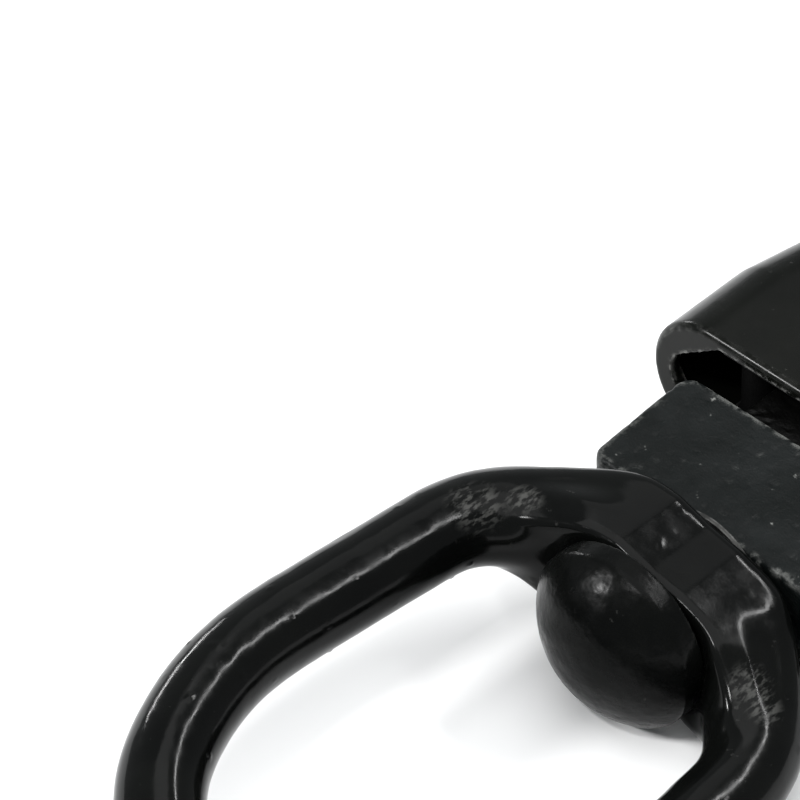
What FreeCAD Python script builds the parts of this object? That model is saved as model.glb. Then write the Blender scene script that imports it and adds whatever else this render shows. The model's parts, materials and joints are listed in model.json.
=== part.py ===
import FreeCAD, Part
import os
import re
from math import acos, atan2, cos, hypot, radians, sin, sqrt

import Sketcher
from FreeCAD import Placement, Rotation, Vector

# In-line swivel hoist ring.
# +Y runs along the swivel axis from the bail ring towards the load tongue, +X runs across the
# ring and the housing, and +Z is up with the flat housing lying down.  The origin is the centre of
# the load bore at the far end of the tongue.

SIZES = [
    # bail ring, drawn flat in its own XY plane
    ("bar_radius", 6.65, "round bar of the ring"),
    ("rest_swivel", 14.4, "turn of the ring about the swivel axis as it lies, degrees"),
    ("crown_mid", -121.8, "Y of the middle of the crown"),
    ("crown_half", 7.4, "half of the crown's height along Y"),
    ("crown_half_width", 14.0, "half of the crown's straight width along X"),
    ("crown_half_depth", 11.3, "half of the crown's depth along Z"),
    ("crown_round", 3.2, "rounding of the crown's ends"),
    ("shoulder_start", 7.9, "X where the crown line turns into the shoulder"),
    ("shoulder_radius", 21.3, "centre-line radius of the shoulder"),
    ("arm_flare", 5.0, "outward slope of the arms, degrees"),
    ("arm_length", 25.8, "straight part of each arm"),
    ("arm_curve", 83.0, "radius of the slow bend below the straight part"),
    ("side_curve", 52.0, "radius of each lower side"),
    ("bottom_curve", 29.0, "radius of the ring's far end"),
    # swivel pin, its bush and washers
    ("bush_outer", 6.5, "outside radius of the crown bush"),
    ("bush_inner", 5.05, "bore radius of the crown bush"),
    ("shank_radius", 5.0, "radius of the swivel pin"),
    ("washer_gap", 0.1, "end play on each side of a washer"),
    ("head_washer_thick", 1.0, "thrust washer under the pin's head"),
    ("head_washer_radius", 11.0, "radius of that washer"),
    ("crown_washer_thick", 0.7, "washer between crown and neck block"),
    ("crown_washer_radius", 10.0, "radius of that washer"),
    ("head_band", 14.6, "radius of the head's band"),
    ("dome_radius", 17.6, "spherical radius of the head"),
    ("dome_centre", -124.2, "Y of the centre of that sphere"),
    ("shank_end", -93.5, "Y of the inner end of the pin"),
    ("dowel_radius", 1.5, "cross dowel that locks the pin in the block"),
    ("dowel_place", -103.0, "Y of the dowel"),
    ("dowel_top", 4.2, "Z of the dowel's blind end"),
    # neck block
    ("block_front_width", 23.6, "half width of the block at the crown"),
    ("block_back_width", 24.8, "half width of the block at the housing"),
    ("block_half_thick", 7.2, "half of the block's thickness"),
    ("block_front", -113.4, "Y of the block's end at the crown"),
    ("block_back", -91.2, "Y where the block steps down to its eye"),
    ("block_corner", 2.6, "radius of the block's upright corners"),
    ("block_edge", 0.9, "radius of the block's long edges"),
    ("eye_half_width", 15.0, "half width and end radius of the block's eye"),
    ("eye_half_thick", 5.0, "half thickness of the eye"),
    ("eye_bush_outer", 7.5, "outside radius of the eye's bush"),
    ("eye_bush_inner", 6.05, "bore radius of the eye's bush"),
    # housing
    ("mouth", -86.4, "Y of the housing's open mouth"),
    ("bend", -69.8, "Y where the housing starts to narrow"),
    ("rear", -14.5, "Y of the housing's closed rear end"),
    ("mouth_half_width", 36.1, "half width of the housing at its mouth"),
    ("rear_half_width", 25.6, "half width of the housing at its rear"),
    ("shell_half_depth", 11.0, "half depth of the housing along Z"),
    ("shell_wall", 2.0, "wall of the housing"),
    ("lip_round", 0.7, "rounding of the mouth's edges"),
    ("rear_round", 2.6, "rounding of the rear end"),
    ("lip_depth", 2.2, "depth along Y of the thicker lip round the mouth"),
    ("opening_flat", 23.1, "X where the flat part of the lip's opening ends"),
    ("opening_end", 27.7, "X of the centre of the opening's rounded end"),
    ("opening_round", 4.5, "radius of that end"),
    # cheek plates
    ("cheek_front", -84.0, "Y of the front end of the cheek plates"),
    ("cheek_back", -20.4, "Y of their rear end"),
    ("cheek_inner", 6.0, "Z of the inner face of the upper cheek plate"),
    ("cheek_margin", 0.7, "gap beside a cheek plate to the curved wall"),
    # neck pivot
    ("pivot_place", -70.0, "Y of the pivot the block rocks on"),
    ("pivot_radius", 6.0, "radius of the pivot barrel"),
    ("pivot_screw", 4.0, "thread radius of the pivot screw"),
    ("pivot_head", 9.0, "radius of both pivot heads"),
    ("plate_washer", 1.0, "thickness of the washers on the housing"),
    ("head_height", 2.6, "height of every low head and nut"),
    ("pivot_washer_outer", 11.0, "radius of the washers under the pivot heads"),
    ("side_washer_outer", 12.0, "radius of the washers beside the eye"),
    ("side_washer_thick", 0.8, "thickness of those washers"),
    ("socket_radius", 4.2, "corner radius of the hexagon sockets"),
    ("socket_depth", 1.7, "depth of the hexagon sockets"),
    # stops for the rocking block
    ("stop_side", 20.8, "X of the stop posts"),
    ("stop_place", -78.0, "Y of the stop posts"),
    ("post_radius", 2.5, "radius of a stop post"),
    ("sleeve_radius", 4.0, "radius of the rubber sleeve on a stop post"),
    ("sleeve_half", 5.8, "half length of the rubber sleeve"),
    # load tongue and its bolts
    ("tongue_half_width", 15.0, "half width of the load tongue"),
    ("tongue_half_thick", 6.0, "half thickness of the load tongue"),
    ("tongue_front", -52.0, "Y of the tongue's end inside the housing"),
    ("tongue_edge", 1.0, "chamfer of the tongue's edges"),
    ("lug_radius", 17.0, "radius of the tongue's eye"),
    ("load_bush_outer", 10.0, "outside radius of the load bush"),
    ("load_bore", 8.0, "radius of the load bore"),
    ("bolt_near", -26.0, "Y of the rear tongue bolt"),
    ("bolt_far", -44.0, "Y of the front tongue bolt"),
    ("bolt_radius", 4.0, "radius of a tongue bolt"),
    ("bolt_head", 7.0, "radius of a tongue bolt's head"),
    ("bolt_washer", 8.4, "radius of a tongue bolt's washer"),
    ("bolt_socket", 3.4, "corner radius of a tongue bolt's socket"),
    ("nut_corner", 7.5, "corner radius of a tongue bolt's nut"),
    ("seal_thick", 3.0, "thickness of the rear seal"),
    # grease nipple on the pivot screw
    ("nipple_base", 3.4, "corner radius of the nipple's hexagon"),
    ("nipple_base_height", 2.0, "height of the nipple's hexagon"),
    ("nipple_neck", 1.7, "radius of the nipple's neck"),
    ("nipple_neck_height", 1.8, "height of the nipple's neck"),
    ("nipple_ball", 2.2, "radius of the nipple's ball"),
]

VALUE = {name: number for name, number, note in SIZES}
WORD = re.compile(r"[A-Za-z_]+")
PARTS = []

doc = FreeCAD.newDocument("swivel_hoist_ring")


# ---------------------------------------------------------------- sheet and expressions

def fill_sheet():
    sheet = doc.addObject("Spreadsheet::Sheet", "Sheet")
    for row, (name, number, note) in enumerate(SIZES, start=1):
        sheet.set("A%d" % row, name)
        sheet.set("B%d" % row, str(number))
        sheet.set("C%d" % row, note)
        sheet.setAlias("B%d" % row, name)
    doc.recompute()


def formula(text):
    """Write each size's name in a formula as a reference to its cell."""
    return WORD.sub(lambda m: "Sheet." + m.group() if m.group() in VALUE else m.group(), text)


def bind(thing, **formulas):
    """Bind properties to formulas; a double underscore in a name stands for a dot."""
    for name, text in formulas.items():
        thing.setExpression(name.replace("__", "."), formula(text))


def place(thing, x="0", y="0", z="0"):
    bind(thing, Placement__Base__x=x, Placement__Base__y=y, Placement__Base__z=z)


def keep(thing, label):
    """Give a finished sub-part its own label and put it on the list of parts."""
    thing.Label = label
    PARTS.append(thing)
    return thing


# ---------------------------------------------------------------- Part primitives

ALONG_Y = Rotation(Vector(1, 0, 0), -90)


def cylinder(radius, height, x="0", y="0", z="0", turn=None):
    """A cylinder whose base centre is at x, y, z; it points up unless it is turned."""
    rod = doc.addObject("Part::Cylinder", "rod")
    if turn is not None:
        rod.Placement = Placement(Vector(0, 0, 0), turn)
    bind(rod, Radius=radius, Height=height)
    place(rod, x, y, z)
    return rod


def hexagon(radius, height, x="0", y="0", z="0"):
    prism = doc.addObject("Part::Prism", "hexagon")
    prism.Polygon = 6
    bind(prism, Circumradius=radius, Height=height)
    place(prism, x, y, z)
    return prism


def sphere(radius, x="0", y="0", z="0"):
    ball = doc.addObject("Part::Sphere", "ball")
    bind(ball, Radius=radius)
    place(ball, x, y, z)
    return ball


def cut(base, tool):
    result = doc.addObject("Part::Cut", "cut")
    result.Base = base
    result.Tool = tool
    return result


def fuse(*shapes):
    result = doc.addObject("Part::MultiFuse", "fuse")
    result.Shapes = list(shapes)
    return result


def group(*shapes):
    result = doc.addObject("Part::Compound", "group")
    result.Links = list(shapes)
    return result


def tube(outer, inner, height, x="0", y="0", z="0", turn=None):
    """A ring or sleeve: one cylinder less another."""
    return cut(
        cylinder(outer, height, x, y, z, turn),
        cylinder(inner, height, x, y, z, turn),
    )


# ---------------------------------------------------------------- PartDesign helpers

def new_body(label):
    return keep(doc.addObject("PartDesign::Body", label), label)


def plane_of(body, role):
    return next(item for item in body.Origin.OriginFeatures if item.Role == role)


def new_sketch(body, role, name, offset=None):
    """A sketch on one of the body's own origin planes, moved along its normal by a formula."""
    sketch = body.newObject("Sketcher::SketchObject", name)
    sketch.AttachmentSupport = [(plane_of(body, role), "")]
    sketch.MapMode = "FlatFace"
    if offset is not None:
        bind(sketch, AttachmentOffset__Base__z=offset)
    return sketch


def named(sketch, name, text, *constraint):
    """Add a dimension, name it and bind it to a formula."""
    index = sketch.addConstraint(Sketcher.Constraint(*constraint))
    sketch.renameConstraint(index, name)
    sketch.setExpression("Constraints." + name, formula(text))


def polygon(sketch, corners):
    """Closed polygon; each corner is a pair of (number, formula) for x and y."""
    count = len(corners)
    points = [Vector(x[0], y[0], 0) for x, y in corners]
    base = sketch.GeometryCount
    for i in range(count):
        sketch.addGeometry(Part.LineSegment(points[i], points[(i + 1) % count]), False)
    for i in range(count):
        following = base + (i + 1) % count
        sketch.addConstraint(Sketcher.Constraint("Coincident", base + i, 2, following, 1))
    for i, (x, y) in enumerate(corners):
        named(sketch, "x%d" % (base + i), x[1], "DistanceX", -1, 1, base + i, 1, x[0])
        named(sketch, "y%d" % (base + i), y[1], "DistanceY", -1, 1, base + i, 1, y[0])


def size(text):
    """A sheet size with an optional minus sign, as a (number, formula) pair."""
    sign = -1 if text.startswith("-") else 1
    return (sign * VALUE[text.lstrip("-")], text)


def rectangle(sketch, half_width, low, high):
    """A rectangle that is centred on x = 0 and runs from low to high."""
    polygon(sketch, [
        (size("-" + half_width), size(low)),
        (size(half_width), size(low)),
        (size(half_width), size(high)),
        (size("-" + half_width), size(high)),
    ])


def circle(sketch, radius, x="", y=""):
    """A circle of a sheet radius, centred on sheet places or on zero."""
    centre_x = size(x) if x else (0.0, "0")
    centre_y = size(y) if y else (0.0, "0")
    centre = Vector(centre_x[0], centre_y[0], 0)
    index = sketch.addGeometry(Part.Circle(centre, Vector(0, 0, 1), VALUE[radius]), False)
    named(sketch, "r%d" % index, radius, "Radius", index, VALUE[radius])
    named(sketch, "cx%d" % index, centre_x[1], "DistanceX", -1, 1, index, 3, centre_x[0])
    named(sketch, "cy%d" % index, centre_y[1], "DistanceY", -1, 1, index, 3, centre_y[0])


def stadium(sketch, half_width, half_depth, width_formula, depth_formula):
    """A flat oval: two straight sides joined by two half circles."""
    reach = half_width - half_depth
    up = Vector(0, 0, 1)
    right_arc = Part.ArcOfCircle(Part.Circle(Vector(reach, 0, 0), up, half_depth),
                                 -radians(90), radians(90))
    left_arc = Part.ArcOfCircle(Part.Circle(Vector(-reach, 0, 0), up, half_depth),
                                radians(90), radians(270))
    top = Part.LineSegment(Vector(reach, half_depth, 0), Vector(-reach, half_depth, 0))
    bottom = Part.LineSegment(Vector(-reach, -half_depth, 0), Vector(reach, -half_depth, 0))
    for edge in (right_arc, top, left_arc, bottom):
        sketch.addGeometry(edge, False)
    for first, second in ((0, 1), (1, 2), (2, 3), (3, 0)):
        sketch.addConstraint(Sketcher.Constraint("Tangent", first, 2, second, 1))
    sketch.addConstraint(Sketcher.Constraint("PointOnObject", 0, 3, -1))
    sketch.addConstraint(Sketcher.Constraint("Symmetric", 0, 3, 2, 3, -1, 1))
    named(sketch, "end_radius", depth_formula, "Radius", 0, half_depth)
    named(sketch, "reach", "(%s) - (%s)" % (width_formula, depth_formula),
          "DistanceX", -1, 1, 0, 3, reach)


def pad(body, sketch, length):
    """Pad a sketch by a whole length, half to each side of its plane."""
    feature = body.newObject("PartDesign::Pad", "pad")
    feature.Profile = sketch
    feature.SideType = "Symmetric"
    bind(feature, Length=length)
    return feature


def pocket(body, sketch, length):
    """Cut a sketch by a whole length, half to each side of its plane."""
    feature = body.newObject("PartDesign::Pocket", "pocket")
    feature.Profile = sketch
    feature.SideType = "Symmetric"
    bind(feature, Length=length)
    return feature


def drill(body, name, role, radius, length, x="", y="", offset=None):
    sketch = new_sketch(body, role, name, offset)
    circle(sketch, radius, x, y)
    return pocket(body, sketch, length)


def edges_where(feature, wanted):
    """Names of the feature's edges whose box passes a test."""
    edges = feature.Shape.Edges
    return ["Edge%d" % (i + 1) for i, edge in enumerate(edges) if wanted(edge.BoundBox)]


def dress(body, kind, feature, wanted, amount):
    """Fillet or chamfer the chosen edges of a feature."""
    doc.recompute()
    result = body.newObject("PartDesign::" + kind, kind.lower())
    result.Base = (feature, edges_where(feature, wanted))
    bind(result, **{("Radius" if kind == "Fillet" else "Size"): amount})
    return result


# ---------------------------------------------------------------- bail ring

def ring_line(sketch):
    """Half of the ring's centre line, from the middle of the crown round to the far end."""
    flare = radians(VALUE["arm_flare"])
    radius, slow = VALUE["shoulder_radius"], VALUE["arm_curve"]
    side, bottom = VALUE["side_curve"], VALUE["bottom_curve"]
    outward = Vector(cos(flare), sin(flare), 0)
    start = Vector(0, VALUE["crown_mid"], 0)
    turn = Vector(VALUE["shoulder_start"], VALUE["crown_mid"], 0)
    shoulder = turn - Vector(0, radius, 0)
    arm_top = shoulder + outward * radius
    arm_foot = arm_top + Vector(sin(flare), -cos(flare), 0) * VALUE["arm_length"]
    slow_centre = arm_foot - outward * slow
    widest = slow_centre + Vector(slow, 0, 0)
    side_centre = widest - Vector(side, 0, 0)
    drop = sqrt((side - bottom) ** 2 - side_centre.x ** 2)
    end_centre = Vector(0, side_centre.y - drop, 0)
    away = (end_centre - side_centre).normalize()
    meeting = end_centre + away * bottom
    low = end_centre - Vector(0, bottom, 0)

    def arc(centre, size_of_arc, first, middle, last):
        points = [centre + (p - centre).normalize() * size_of_arc for p in (first, middle, last)]
        return Part.Arc(*points)

    sketch.addGeometry(Part.LineSegment(start, turn), False)
    sketch.addGeometry(arc(shoulder, radius, turn, shoulder + Vector(1, 1, 0), arm_top), False)
    sketch.addGeometry(Part.LineSegment(arm_top, arm_foot), False)
    sketch.addGeometry(arc(slow_centre, slow, arm_foot, (arm_foot + widest) / 2, widest), False)
    sketch.addGeometry(arc(side_centre, side, widest, (widest + meeting) / 2, meeting), False)
    sketch.addGeometry(arc(end_centre, bottom, meeting, (meeting + low) / 2, low), False)

    # Part.Arc through three points always runs anticlockwise in a sketch, so the start of an
    # arc that is walked clockwise is its second end.
    into = {0: 1, 1: 2, 2: 1, 3: 2, 4: 2, 5: 2}
    out_of = {0: 2, 1: 1, 2: 2, 3: 1, 4: 1, 5: 1}
    for first in range(5):
        second = first + 1
        sketch.addConstraint(Sketcher.Constraint("Tangent", first, out_of[first], second,
                                                 into[second]))
    sketch.addConstraint(Sketcher.Constraint("Horizontal", 0))
    sketch.addConstraint(Sketcher.Constraint("PointOnObject", 0, 1, -2))
    sketch.addConstraint(Sketcher.Constraint("PointOnObject", 5, 3, -2))
    sketch.addConstraint(Sketcher.Constraint("PointOnObject", 5, out_of[5], -2))
    sketch.addConstraint(Sketcher.Constraint("Horizontal", 3, 3, 4, 3))
    named(sketch, "crown", "crown_mid", "DistanceY", -1, 1, 0, 1, VALUE["crown_mid"])
    named(sketch, "top", "shoulder_start", "DistanceX", 0, 1, 0, 2, VALUE["shoulder_start"])
    named(sketch, "shoulder", "shoulder_radius", "Radius", 1, radius)
    named(sketch, "arm", "arm_length", "Distance", 2, VALUE["arm_length"])
    named(sketch, "flare", "arm_length * sin(arm_flare * 1 deg)", "DistanceX", 2, 1, 2, 2,
          VALUE["arm_length"] * sin(flare))
    named(sketch, "slow", "arm_curve", "Radius", 3, slow)
    named(sketch, "side", "side_curve", "Radius", 4, side)
    named(sketch, "bottom", "bottom_curve", "Radius", 5, bottom)


def make_bail_ring():
    """Forged ring: a round bar bent to a pear, with a deep crown bored for the swivel pin."""
    body = new_body("bail_ring")
    crown = new_sketch(body, "XY_Plane", "crown_outline")
    low = (VALUE["crown_mid"] - VALUE["crown_half"], "crown_mid - crown_half")
    high = (VALUE["crown_mid"] + VALUE["crown_half"], "crown_mid + crown_half")
    left, right = size("-crown_half_width"), size("crown_half_width")
    polygon(crown, [(left, low), (right, low), (right, high), (left, high)])
    block = pad(body, crown, "2 * crown_half_depth")
    depth = VALUE["crown_half_depth"]
    block = dress(body, "Fillet", block, lambda box: box.ZLength > depth
                  or (box.YLength > 1 and box.XLength < 0.1), "crown_round")

    line = new_sketch(body, "XY_Plane", "ring_line")
    ring_line(line)
    section = new_sketch(body, "YZ_Plane", "bar_section")
    circle(section, "bar_radius", "crown_mid")
    pipe = body.newObject("PartDesign::AdditivePipe", "half_ring")
    pipe.Profile = section
    pipe.Spine = line
    pipe.Mode = "Frenet"
    doc.recompute()
    mirror = body.newObject("PartDesign::Mirrored", "other_half")
    mirror.Originals = [pipe]
    mirror.MirrorPlane = (plane_of(body, "YZ_Plane"), [""])
    body.Tip = mirror
    doc.recompute()
    drill(body, "bush_bore", "XZ_Plane", "bush_outer", "2 * crown_half + 4", offset="-crown_mid")
    body.Placement = Placement(Vector(0, 0, 0), Rotation(Vector(0, 1, 0), VALUE["rest_swivel"]))
    bind(body, Placement__Rotation__Angle="rest_swivel * 1 deg")


def make_crown_bush():
    bush = tube("bush_outer", "bush_inner", "2 * crown_half", y="crown_mid - crown_half",
                turn=ALONG_Y)
    keep(bush, "crown_bush")


# ---------------------------------------------------------------- swivel pin and neck block

HEAD_FACE = "(crown_mid - crown_half - 2 * washer_gap - head_washer_thick)"


def make_swivel_pin():
    """Domed head inside the ring, plain shank through crown and block, cross hole for a dowel."""
    ball = sphere("dome_radius", y="dome_centre")
    band = cylinder("head_band", HEAD_FACE + " - dome_centre + dome_radius",
                    y="dome_centre - dome_radius", turn=ALONG_Y)
    head = doc.addObject("Part::MultiCommon", "head")
    head.Shapes = [ball, band]
    shank = cylinder("shank_radius", "shank_end - %s + 1" % HEAD_FACE, y=HEAD_FACE + " - 1",
                     turn=ALONG_Y)
    hole = cylinder("dowel_radius", "shank_radius + dowel_top + 1", y="dowel_place",
                    z="-shank_radius - 1")
    keep(cut(fuse(head, shank), hole), "swivel_pin")


def make_pin_washers():
    """Thrust washer under the head, and the washer between the crown and the block."""
    keep(tube("head_washer_radius", "bush_inner", "head_washer_thick",
              y=HEAD_FACE + " + washer_gap", turn=ALONG_Y), "head_washer")
    keep(tube("crown_washer_radius", "bush_inner", "crown_washer_thick",
              y="crown_mid + crown_half + washer_gap", turn=ALONG_Y), "crown_washer")


def make_lock_dowel():
    keep(cylinder("dowel_radius", "block_half_thick + dowel_top", y="dowel_place",
                  z="-block_half_thick"), "lock_dowel")


def eye_outline(sketch, half_width, front, centre):
    """A tongue that runs from its front end to a round end about its eye's centre."""
    half, y_front, y_centre = VALUE[half_width], VALUE[front], VALUE[centre]
    corners = [Vector(-half, y_centre, 0), Vector(-half, y_front, 0),
               Vector(half, y_front, 0), Vector(half, y_centre, 0)]
    for first, second in zip(corners, corners[1:]):
        sketch.addGeometry(Part.LineSegment(first, second), False)
    rounded = Part.Circle(Vector(0, y_centre, 0), Vector(0, 0, 1), half)
    sketch.addGeometry(Part.ArcOfCircle(rounded, 0, radians(180)), False)
    for first, end, second, start in ((0, 2, 1, 1), (1, 2, 2, 1)):
        sketch.addConstraint(Sketcher.Constraint("Coincident", first, end, second, start))
    sketch.addConstraint(Sketcher.Constraint("Tangent", 2, 2, 3, 1))
    sketch.addConstraint(Sketcher.Constraint("Tangent", 3, 2, 0, 1))
    sketch.addConstraint(Sketcher.Constraint("Vertical", 0))
    sketch.addConstraint(Sketcher.Constraint("Horizontal", 1))
    sketch.addConstraint(Sketcher.Constraint("PointOnObject", 3, 3, -2))
    named(sketch, "end_radius", half_width, "Radius", 3, half)
    named(sketch, "centre", centre, "DistanceY", -1, 1, 3, 3, y_centre)
    named(sketch, "front", front, "DistanceY", -1, 1, 0, 2, y_front)


def make_neck_block():
    """Cast block that holds the swivel pin and rocks on the pivot inside the housing."""
    body = new_body("neck_block")
    outline = new_sketch(body, "XY_Plane", "block_outline")
    polygon(outline, [
        (size("-block_front_width"), size("block_front")),
        (size("block_front_width"), size("block_front")),
        (size("block_back_width"), size("block_back")),
        (size("-block_back_width"), size("block_back")),
    ])
    block = pad(body, outline, "2 * block_half_thick")
    thick = 1.9 * VALUE["block_half_thick"]
    block = dress(body, "Fillet", block, lambda box: box.ZLength > thick, "block_corner")
    block = dress(body, "Fillet", block, lambda box: box.ZLength < 0.1, "block_edge")
    eye = new_sketch(body, "XY_Plane", "eye_outline")
    eye_outline(eye, "eye_half_width", "block_back", "pivot_place")
    move_front = "block_back - 2 * block_edge"
    eye.setExpression("Constraints.front", formula(move_front))
    pad(body, eye, "2 * eye_half_thick")
    drill(body, "pivot_hole", "XY_Plane", "eye_bush_outer", "4 * eye_half_thick",
          y="pivot_place")
    drill(body, "pin_hole", "XZ_Plane", "shank_radius", "2 * (shank_end - block_front)",
          offset="-block_front")
    dowel = new_sketch(body, "XY_Plane", "dowel_hole", "-block_half_thick")
    circle(dowel, "dowel_radius", y="dowel_place")
    pocket(body, dowel, "2 * (block_half_thick + dowel_top)")


def make_eye_bush():
    keep(tube("eye_bush_outer", "eye_bush_inner", "2 * eye_half_thick", y="pivot_place",
              z="-eye_half_thick"), "eye_bush")


# ---------------------------------------------------------------- housing

def shell_width(y):
    """Half width of the housing's outside at a place along Y: straight, then narrowing."""
    wide, narrow = VALUE["mouth_half_width"], VALUE["rear_half_width"]
    share = (y - VALUE["bend"]) / (VALUE["rear"] - VALUE["bend"])
    return wide - (wide - narrow) * max(0.0, share)


STRAIGHT_WIDTH = "mouth_half_width"
TAPER_WIDTH = ("(mouth_half_width - (mouth_half_width - rear_half_width)"
               " * (%s - bend) / (rear - bend))")


def shell_sections(body, name, stations):
    """Flat-oval sections; each station is a place along Y, a width formula and an inset."""
    sections = []
    for index, (y_number, y_text, width_text, inset_number, inset_text) in enumerate(stations):
        sketch = new_sketch(body, "XZ_Plane", "%s_%d" % (name, index), "-(%s)" % y_text)
        depth = VALUE["shell_half_depth"] - inset_number
        stadium(sketch, shell_width(y_number) - inset_number, depth,
                "%s - (%s)" % (width_text, inset_text), "shell_half_depth - (%s)" % inset_text)
        sections.append(sketch)
    return sections


def loft(body, kind, sections):
    feature = body.newObject("PartDesign::" + kind, kind.lower())
    feature.Profile = sections[0]
    feature.Sections = sections[1:]
    feature.Ruled = True
    doc.recompute()
    return feature


def cut_mouth_opening(body):
    """Opening of the lip: flat above and below, with sloping sides and rounded ends."""
    sketch = new_sketch(body, "XZ_Plane", "mouth_opening", "-mouth")
    flat, end, radius = VALUE["opening_flat"], VALUE["opening_end"], VALUE["opening_round"]
    height = VALUE["shell_half_depth"] - VALUE["shell_wall"]
    turn = atan2(height, flat - end) - acos(radius / hypot(end - flat, height))
    touch = Vector(end + radius * cos(turn), radius * sin(turn), 0)
    corner = Vector(flat, height, 0)
    sides = [Vector(1, 1, 0), Vector(-1, 1, 0), Vector(-1, -1, 0), Vector(1, -1, 0)]
    touches = [Vector(touch.x * side.x, touch.y * side.y, 0) for side in sides]
    corners = [Vector(corner.x * side.x, corner.y * side.y, 0) for side in sides]
    up = Vector(0, 0, 1)
    right_circle = Part.Circle(Vector(end, 0, 0), up, radius)
    left_circle = Part.Circle(Vector(-end, 0, 0), up, radius)
    for edge in (
        Part.ArcOfCircle(right_circle, -turn, turn),
        Part.LineSegment(touches[0], corners[0]),
        Part.LineSegment(corners[0], corners[1]),
        Part.LineSegment(corners[1], touches[1]),
        Part.ArcOfCircle(left_circle, radians(180) - turn, radians(180) + turn),
        Part.LineSegment(touches[2], corners[2]),
        Part.LineSegment(corners[2], corners[3]),
        Part.LineSegment(corners[3], touches[3]),
    ):
        sketch.addGeometry(edge, False)
    for first, second in ((0, 1), (3, 4), (4, 5), (7, 0)):
        sketch.addConstraint(Sketcher.Constraint("Tangent", first, 2, second, 1))
    for first, second in ((1, 2), (2, 3), (5, 6), (6, 7)):
        sketch.addConstraint(Sketcher.Constraint("Coincident", first, 2, second, 1))
    for arc, sign in ((0, ""), (4, "-")):
        sketch.addConstraint(Sketcher.Constraint("PointOnObject", arc, 3, -1))
        named(sketch, "round%d" % arc, "opening_round", "Radius", arc, radius)
        named(sketch, "end%d" % arc, sign + "opening_end", "DistanceX", -1, 1, arc, 3,
              size(sign + "opening_end")[0])
    depth = "shell_half_depth - shell_wall"
    for line, point, side in ((2, 1, sides[0]), (2, 2, sides[1]), (6, 1, sides[2]),
                              (6, 2, sides[3])):
        label = "%d_%d" % (line, point)
        named(sketch, "x" + label, ("" if side.x > 0 else "-") + "opening_flat", "DistanceX",
              -1, 1, line, point, flat * side.x)
        named(sketch, "y" + label, depth if side.y > 0 else "-(%s)" % depth, "DistanceY",
              -1, 1, line, point, height * side.y)
    pocket(body, sketch, "2 * lip_depth")


def make_housing_shell():
    """One pressed flat-oval shell, open at the mouth, that narrows to a slotted rear wall."""
    body = new_body("housing_shell")
    mouth, bend, rear = VALUE["mouth"], VALUE["bend"], VALUE["rear"]
    lip, soft, wall = VALUE["lip_round"], VALUE["rear_round"], VALUE["shell_wall"]
    before_rear = "(rear - rear_round)"
    outside = [
        (mouth, "mouth", STRAIGHT_WIDTH, lip, "lip_round"),
        (mouth + lip, "mouth + lip_round", STRAIGHT_WIDTH, 0.0, "0"),
        (bend, "bend", STRAIGHT_WIDTH, 0.0, "0"),
        (rear - soft, before_rear, TAPER_WIDTH % before_rear, 0.0, "0"),
        (rear, "rear", TAPER_WIDTH % "rear", soft, "rear_round"),
    ]
    floor = "(rear - shell_wall)"
    inside = [
        (mouth + VALUE["lip_depth"], "mouth + lip_depth", STRAIGHT_WIDTH, wall, "shell_wall"),
        (bend, "bend", STRAIGHT_WIDTH, wall, "shell_wall"),
        (rear - wall, floor, TAPER_WIDTH % floor, wall, "shell_wall"),
    ]
    loft(body, "AdditiveLoft", shell_sections(body, "outside", outside))
    loft(body, "SubtractiveLoft", shell_sections(body, "inside", inside))
    cut_mouth_opening(body)
    slot = new_sketch(body, "XY_Plane", "tongue_slot")
    past_rear = (VALUE["rear"] + 1, "rear + 1")
    before_wall = (VALUE["rear"] - 4, "rear - shell_wall - 2")
    left, right = size("-tongue_half_width"), size("tongue_half_width")
    polygon(slot, [(left, before_wall), (right, before_wall), (right, past_rear),
                   (left, past_rear)])
    pocket(body, slot, "2 * tongue_half_thick")
    drill(body, "pivot_hole", "XY_Plane", "pivot_radius", "4 * shell_half_depth",
          y="pivot_place")
    for place_name in ("bolt_near", "bolt_far"):
        drill(body, place_name + "_hole", "XY_Plane", "bolt_radius", "4 * shell_half_depth",
              y=place_name)


def make_cheek_plate(label, low):
    """Flat plate inside the housing that carries the pivot, the stops and the tongue."""
    body = new_body(label)
    outline = new_sketch(body, "XY_Plane", "plate_outline")
    flat = "shell_half_depth + cheek_margin"
    depth = VALUE["shell_half_depth"] + VALUE["cheek_margin"]
    front = VALUE["mouth_half_width"] - depth
    back = shell_width(VALUE["cheek_back"]) - depth
    front_text = "mouth_half_width - (%s)" % flat
    back_text = "%s - (%s)" % (TAPER_WIDTH % "cheek_back", flat)
    polygon(outline, [
        ((-front, "-(%s)" % front_text), size("cheek_front")),
        ((front, front_text), size("cheek_front")),
        ((front, front_text), size("bend")),
        ((back, back_text), size("cheek_back")),
        ((-back, "-(%s)" % back_text), size("cheek_back")),
        ((-front, "-(%s)" % front_text), size("bend")),
    ])
    pad(body, outline, "shell_half_depth - shell_wall - cheek_inner")
    drill(body, "pivot_hole", "XY_Plane", "pivot_radius", "4 * shell_half_depth",
          y="pivot_place")
    for x in ("-stop_side", "stop_side"):
        drill(body, "post_hole", "XY_Plane", "post_radius", "4 * shell_half_depth", x=x,
              y="stop_place")
    for place_name in ("bolt_near", "bolt_far"):
        drill(body, place_name + "_hole", "XY_Plane", "bolt_radius", "4 * shell_half_depth",
              y=place_name)
    place(body, z=low)


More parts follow.
